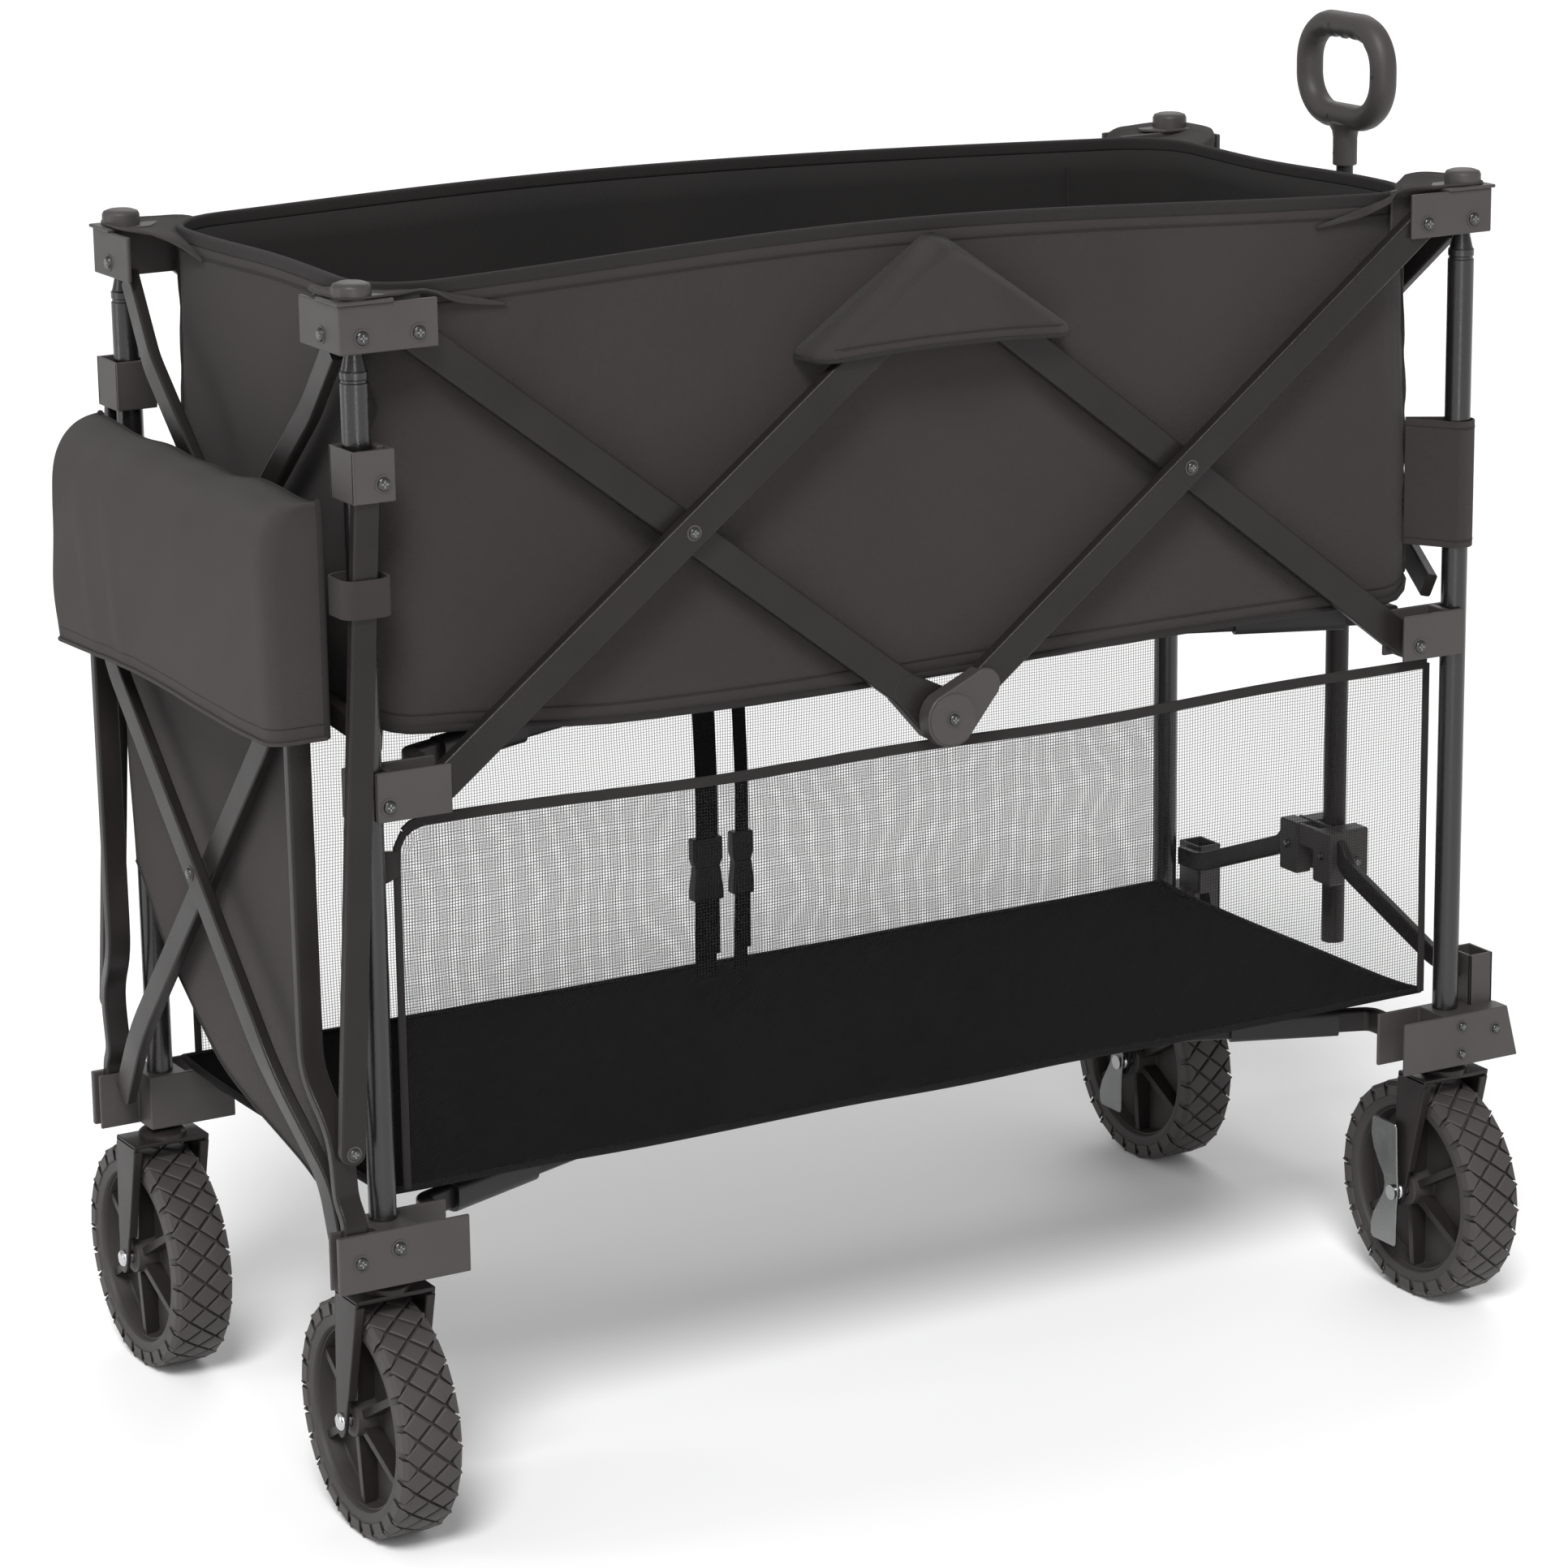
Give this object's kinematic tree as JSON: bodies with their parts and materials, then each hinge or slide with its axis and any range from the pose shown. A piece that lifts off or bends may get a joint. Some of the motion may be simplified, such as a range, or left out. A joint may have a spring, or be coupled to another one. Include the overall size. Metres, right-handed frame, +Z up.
{
  "type": "folding wagon with pull handle",
  "caption": "Folding wagon with a deep fabric basket over a netted lower deck, swivel casters, a drop-down tailgate and a tilting, telescoping pull handle.",
  "frame": {"origin": "on the ground, under the middle of the object's box", "axes": "+X to the handle end, +Y to the left side, +Z up"},
  "size_m": [1.07, 0.578, 1.0139],
  "materials": {
    "frame_steel": "satin powder coat",
    "moulded_plastic": "fine satin texture",
    "grip_plastic": "smooth satin",
    "basket_fabric": "dense woven polyester",
    "gate_fabric": "dense woven polyester",
    "deck_fabric": "coarse woven polyester",
    "side_net": "open mesh netting",
    "wheel": "matte moulded wheel",
    "brake_steel": "plain zinc"
  },
  "bodies": {
    "rear_frame": {"rear_post_near": "frame_steel", "rear_top_bracket_near": "moulded_plastic", "rear_low_bracket_near": "moulded_plastic", "rear_cross_bar_near": "frame_steel", "side_mesh_near": "side_net", "rear_post_far": "frame_steel", "rear_top_bracket_far": "moulded_plastic", "rear_low_bracket_far": "moulded_plastic", "rear_cross_bar_far": "frame_steel", "side_mesh_far": "side_net", "basket": "basket_fabric", "lower_deck": "deck_fabric"},
    "front_frame": {"front_post_near": "frame_steel", "front_top_bracket_near": "moulded_plastic", "front_low_bracket_near": "moulded_plastic", "front_cross_bar_near": "frame_steel", "front_post_far": "frame_steel", "front_top_bracket_far": "moulded_plastic", "front_low_bracket_far": "moulded_plastic", "front_cross_bar_far": "frame_steel", "handle_spreader": "frame_steel", "handle_block": "moulded_plastic"},
    "rear_drop_bar_near": {"rear_drop_bar_near": "frame_steel"},
    "rear_rise_bar_near": {"rear_rise_bar_near": "frame_steel"},
    "front_rise_bar_near": {"front_rise_bar_near": "frame_steel"},
    "front_drop_bar_near": {"front_drop_bar_near": "frame_steel"},
    "rear_mid_bracket_near": {"rear_mid_bracket_near": "moulded_plastic"},
    "front_mid_bracket_near": {"front_mid_bracket_near": "moulded_plastic"},
    "rear_drop_bar_far": {"rear_drop_bar_far": "frame_steel"},
    "rear_rise_bar_far": {"rear_rise_bar_far": "frame_steel"},
    "front_rise_bar_far": {"front_rise_bar_far": "frame_steel"},
    "front_drop_bar_far": {"front_drop_bar_far": "frame_steel"},
    "rear_mid_bracket_far": {"rear_mid_bracket_far": "moulded_plastic"},
    "front_mid_bracket_far": {"front_mid_bracket_far": "moulded_plastic"},
    "basket_support_rear": {"basket_support_rear": "frame_steel"},
    "basket_support_front": {"basket_support_front": "frame_steel"},
    "deck_support_rear": {"deck_support_rear": "frame_steel"},
    "deck_support_front": {"deck_support_front": "frame_steel"},
    "gate": {"gate_rail_near": "frame_steel", "gate_rail_far": "frame_steel", "gate_cross_bar_near": "frame_steel", "gate_cross_bar_far": "frame_steel", "gate_hood": "gate_fabric", "gate_panel": "gate_fabric"},
    "rear_slider_near": {"rear_slider_near": "moulded_plastic"},
    "rear_strut_near": {"rear_strut_near": "frame_steel"},
    "rear_slider_far": {"rear_slider_far": "moulded_plastic"},
    "rear_strut_far": {"rear_strut_far": "frame_steel"},
    "handle": {"handle_outer_tube": "frame_steel"},
    "grip": {"grip_and_inner_tube": "grip_plastic"},
    "rear_fork_near": {"rear_fork_near": "frame_steel"},
    "rear_wheel_near": {"rear_wheel_near": "wheel"},
    "rear_fork_far": {"rear_fork_far": "frame_steel"},
    "rear_wheel_far": {"rear_wheel_far": "wheel"},
    "front_fork_near": {"front_fork_near": "frame_steel"},
    "front_wheel_near": {"front_wheel_near": "wheel"},
    "front_fork_far": {"front_fork_far": "frame_steel"},
    "front_wheel_far": {"front_wheel_far": "wheel"},
    "brake_lever_near": {"brake_lever_near": "brake_steel"},
    "brake_lever_far": {"brake_lever_far": "brake_steel"}
  },
  "joints": [
    {"name": "fold", "type": "hinge", "parent": "rear_frame", "child": "rear_drop_bar_near", "pos_m": [-0.418, -0.215, 0.878], "axis": [0, 1, 0], "range_deg": [0, 40], "deforming": ["basket", "lower_deck", "side_mesh_near", "side_mesh_far"]},
    {"name": "fold_rear_rise_near", "type": "hinge", "parent": "rear_drop_bar_near", "child": "rear_rise_bar_near", "pos_m": [-0.2045, -0.215, 0.713], "axis": [0, 1, 0], "range_deg": [-80.5, 0]},
    {"name": "fold_front_drop_near", "type": "hinge", "parent": "rear_drop_bar_near", "child": "front_drop_bar_near", "pos_m": [0.009, -0.215, 0.548], "axis": [0, 1, 0], "range_deg": [-80.5, 0]},
    {"name": "fold_front_rise_near", "type": "hinge", "parent": "rear_rise_bar_near", "child": "front_rise_bar_near", "pos_m": [0.009, -0.215, 0.878], "axis": [0, 1, 0], "range_deg": [0, 80.5]},
    {"name": "fold_rear_collar_near", "type": "hinge", "parent": "rear_rise_bar_near", "child": "rear_mid_bracket_near", "pos_m": [-0.418, -0.215, 0.548], "axis": [0, 1, 0], "range_deg": [0, 40.5]},
    {"name": "fold_front_collar_near", "type": "hinge", "parent": "front_rise_bar_near", "child": "front_mid_bracket_near", "pos_m": [0.436, -0.215, 0.548], "axis": [0, 1, 0], "range_deg": [-40.5, 0]},
    {"name": "fold_rear_drop_far", "type": "hinge", "parent": "rear_frame", "child": "rear_drop_bar_far", "pos_m": [-0.418, 0.185, 0.878], "axis": [0, 1, 0], "range_deg": [0, 40.5]},
    {"name": "fold_rear_rise_far", "type": "hinge", "parent": "rear_drop_bar_far", "child": "rear_rise_bar_far", "pos_m": [-0.2045, 0.185, 0.713], "axis": [0, 1, 0], "range_deg": [-80.5, 0]},
    {"name": "fold_front_drop_far", "type": "hinge", "parent": "rear_drop_bar_far", "child": "front_drop_bar_far", "pos_m": [0.009, 0.185, 0.548], "axis": [0, 1, 0], "range_deg": [-80.5, 0]},
    {"name": "fold_front_rise_far", "type": "hinge", "parent": "rear_rise_bar_far", "child": "front_rise_bar_far", "pos_m": [0.009, 0.185, 0.878], "axis": [0, 1, 0], "range_deg": [0, 80.5]},
    {"name": "fold_rear_collar_far", "type": "hinge", "parent": "rear_rise_bar_far", "child": "rear_mid_bracket_far", "pos_m": [-0.418, 0.185, 0.548], "axis": [0, 1, 0], "range_deg": [0, 40.5]},
    {"name": "fold_front_collar_far", "type": "hinge", "parent": "front_rise_bar_far", "child": "front_mid_bracket_far", "pos_m": [0.436, 0.185, 0.548], "axis": [0, 1, 0], "range_deg": [-40.5, 0]},
    {"name": "fold_front_frame", "type": "hinge", "parent": "front_drop_bar_near", "child": "front_frame", "pos_m": [0.436, -0.215, 0.878], "axis": [0, 1, 0], "range_deg": [0, 40.5]},
    {"name": "fold_basket_support_rear", "type": "hinge", "parent": "rear_mid_bracket_near", "child": "basket_support_rear", "pos_m": [-0.414, -0.015, 0.566], "axis": [0, 1, 0], "range_deg": [-80.5, 0]},
    {"name": "fold_basket_support_front", "type": "hinge", "parent": "front_mid_bracket_near", "child": "basket_support_front", "pos_m": [0.432, -0.015, 0.566], "axis": [0, 1, 0], "range_deg": [0, 80.5]},
    {"name": "fold_deck_support_rear", "type": "hinge", "parent": "rear_frame", "child": "deck_support_rear", "pos_m": [-0.414, -0.015, 0.232], "axis": [0, 1, 0], "range_deg": [-80.5, 0]},
    {"name": "fold_deck_support_front", "type": "hinge", "parent": "front_frame", "child": "deck_support_front", "pos_m": [0.432, -0.015, 0.232], "axis": [0, 1, 0], "range_deg": [0, 80.5]},
    {"name": "gate_hinge", "type": "hinge", "parent": "rear_frame", "child": "gate", "pos_m": [-0.491, -0.015, 0.222], "axis": [0, -1, 0], "range_deg": [0, 90]},
    {"name": "gate_slider_near", "type": "slide", "parent": "rear_frame", "child": "rear_slider_near", "axis": [0, 0, -1], "range_m": [0, 0.09357]},
    {"name": "gate_strut_near", "type": "hinge", "parent": "rear_slider_near", "child": "rear_strut_near", "pos_m": [-0.463, -0.215, 0.778], "axis": [0, 1, 0], "range_deg": [0, 10.22]},
    {"name": "gate_slider_far", "type": "slide", "parent": "rear_frame", "child": "rear_slider_far", "axis": [0, 0, -1], "range_m": [0, 0.09357]},
    {"name": "gate_strut_far", "type": "hinge", "parent": "rear_slider_far", "child": "rear_strut_far", "pos_m": [-0.463, 0.185, 0.778], "axis": [0, 1, 0], "range_deg": [0, 10.22]},
    {"name": "handle_tilt", "type": "hinge", "parent": "front_frame", "child": "handle", "pos_m": [0.5133, -0.015, 0.318], "axis": [0, 1, 0], "range_deg": [0, 70]},
    {"name": "handle_extend", "type": "slide", "parent": "handle", "child": "grip", "axis": [0, 0, 1], "range_m": [0, 0.24]},
    {"name": "rear_swivel_near", "type": "hinge", "parent": "rear_frame", "child": "rear_fork_near", "pos_m": [-0.461, -0.215, 0.19], "axis": [0, 0, 1], "continuous": true},
    {"name": "rear_wheel_spin_near", "type": "hinge", "parent": "rear_fork_near", "child": "rear_wheel_near", "pos_m": [-0.461, -0.2, 0.089], "axis": [1, 0, 0], "continuous": true},
    {"name": "rear_swivel_far", "type": "hinge", "parent": "rear_frame", "child": "rear_fork_far", "pos_m": [-0.461, 0.185, 0.19], "axis": [0, 0, 1], "continuous": true},
    {"name": "rear_wheel_spin_far", "type": "hinge", "parent": "rear_fork_far", "child": "rear_wheel_far", "pos_m": [-0.461, 0.2, 0.089], "axis": [1, 0, 0], "continuous": true},
    {"name": "front_swivel_near", "type": "hinge", "parent": "front_frame", "child": "front_fork_near", "pos_m": [0.479, -0.215, 0.19], "axis": [0, 0, 1], "continuous": true},
    {"name": "front_wheel_spin_near", "type": "hinge", "parent": "front_fork_near", "child": "front_wheel_near", "pos_m": [0.479, -0.2, 0.089], "axis": [1, 0, 0], "continuous": true},
    {"name": "front_swivel_far", "type": "hinge", "parent": "front_frame", "child": "front_fork_far", "pos_m": [0.479, 0.185, 0.19], "axis": [0, 0, 1], "continuous": true},
    {"name": "front_wheel_spin_far", "type": "hinge", "parent": "front_fork_far", "child": "front_wheel_far", "pos_m": [0.479, 0.2, 0.089], "axis": [1, 0, 0], "continuous": true},
    {"name": "brake_rocker_near", "type": "hinge", "parent": "front_fork_near", "child": "brake_lever_near", "pos_m": [0.479, -0.2, 0.089], "axis": [1, 0, 0], "range_deg": [-12, 12]},
    {"name": "brake_rocker_far", "type": "hinge", "parent": "front_fork_far", "child": "brake_lever_far", "pos_m": [0.479, 0.2, 0.089], "axis": [1, 0, 0], "range_deg": [-12, 12]}
  ],
  "couplings": [
    {"joint": "fold_rear_rise_near", "follows": "fold", "ratio": -2},
    {"joint": "fold_front_drop_near", "follows": "fold", "ratio": -2},
    {"joint": "fold_front_rise_near", "follows": "fold", "ratio": 2},
    {"joint": "fold_rear_collar_near", "follows": "fold", "ratio": 1},
    {"joint": "fold_front_collar_near", "follows": "fold", "ratio": -1},
    {"joint": "fold_rear_drop_far", "follows": "fold", "ratio": 1},
    {"joint": "fold_rear_rise_far", "follows": "fold", "ratio": -2},
    {"joint": "fold_front_drop_far", "follows": "fold", "ratio": -2},
    {"joint": "fold_front_rise_far", "follows": "fold", "ratio": 2},
    {"joint": "fold_rear_collar_far", "follows": "fold", "ratio": 1},
    {"joint": "fold_front_collar_far", "follows": "fold", "ratio": -1},
    {"joint": "fold_front_frame", "follows": "fold", "ratio": 1},
    {"joint": "fold_basket_support_rear", "follows": "fold", "ratio": -2},
    {"joint": "fold_basket_support_front", "follows": "fold", "ratio": 2},
    {"joint": "fold_deck_support_rear", "follows": "fold", "ratio": -2},
    {"joint": "fold_deck_support_front", "follows": "fold", "ratio": 2},
    {"joint": "gate_slider_near", "follows": "gate_hinge", "m_per_rad": 0.058295},
    {"joint": "gate_strut_near", "follows": "gate_hinge", "ratio": 0.10805},
    {"joint": "gate_slider_far", "follows": "gate_hinge", "m_per_rad": 0.058295},
    {"joint": "gate_strut_far", "follows": "gate_hinge", "ratio": 0.10805}
  ]
}
